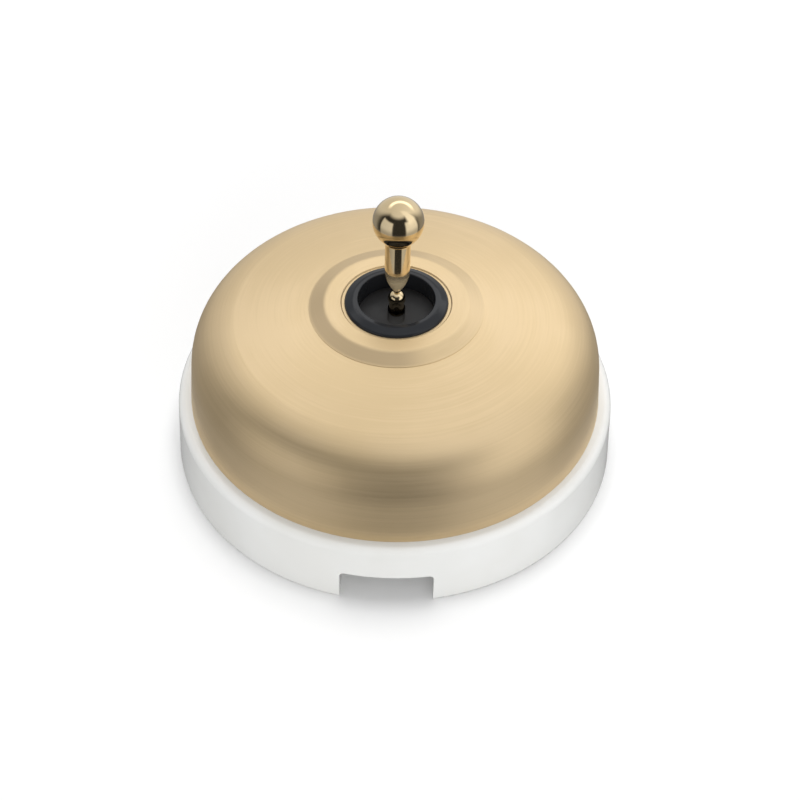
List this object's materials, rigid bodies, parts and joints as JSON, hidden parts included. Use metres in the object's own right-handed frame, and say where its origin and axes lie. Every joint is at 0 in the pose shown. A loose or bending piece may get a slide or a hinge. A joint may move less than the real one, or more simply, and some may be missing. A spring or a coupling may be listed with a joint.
{
  "type": "surface-mounted toggle light switch",
  "caption": "Round surface-mounted toggle light switch with a white porcelain base, a satin brass dome, a black collar ring and a ball-ended brass lever.",
  "frame": {"origin": "centre of the two wall-screw holes, on the back face that meets the wall", "axes": "+Z out of the wall, -Y towards the cable notch, the lever swings about X"},
  "size_m": [0.072, 0.0717, 0.0457],
  "materials": {
    "porcelain": "white glaze, glossy",
    "satin_brass": "fine brushed and satin, pale",
    "polished_brass": "turned and polished",
    "black_gloss": "moulded, glossy",
    "black_matt": "moulded, matt",
    "lining": "fibre sheet, matt",
    "contact_brass": "stamped, plain",
    "plunger_brass": "turned, plain",
    "silver": "silver contact face",
    "steel": "zinc plated"
  },
  "bodies": {
    "fixed_part": {"porcelain_base": "porcelain", "dome_cover": "satin_brass", "insulating_liner": "lining", "collar_ring": "black_gloss", "mechanism_housing": "black_gloss", "pivot_pin": "steel", "fixed_contacts": "silver", "common_strip": "contact_brass", "front_strip": "contact_brass", "rear_strip": "contact_brass", "contact_plate": "black_matt", "common_terminal": "contact_brass", "front_terminal": "contact_brass", "rear_terminal": "contact_brass", "terminal_screws": "steel", "housing_screws": "steel", "mechanism_screws": "steel", "screw_washers": "steel", "mechanism_nuts": "steel"},
    "lever_part": {"toggle_lever": "polished_brass", "lever_carrier": "black_matt", "dust_shield": "black_matt", "plunger_spring": "steel"},
    "plunger_part": {"plunger": "plunger_brass"},
    "seesaw_part": {"contact_rocker": "contact_brass", "rocker_contacts": "silver"}
  },
  "joints": [
    {"name": "lever_swing", "type": "hinge", "parent": "fixed_part", "child": "lever_part", "pos_m": [0, 0, 0.02155], "axis": [1, 0, 0], "range_deg": [0, 26]},
    {"name": "seesaw_rock", "type": "hinge", "parent": "fixed_part", "child": "seesaw_part", "pos_m": [0, 0, 0.01245], "axis": [1, 0, 0], "range_deg": [-14, 0]},
    {"name": "plunger_press", "type": "slide", "parent": "lever_part", "child": "plunger_part", "axis": [0, 0.225, 0.9744], "range_m": [0, 0.00035], "stiffness_N_per_m": 500, "springref_m": -0.002, "deforming": ["plunger_spring"]}
  ],
  "couplings": [
    {"joint": "seesaw_rock", "follows": "lever_swing", "ratio": -0.53846}
  ]
}
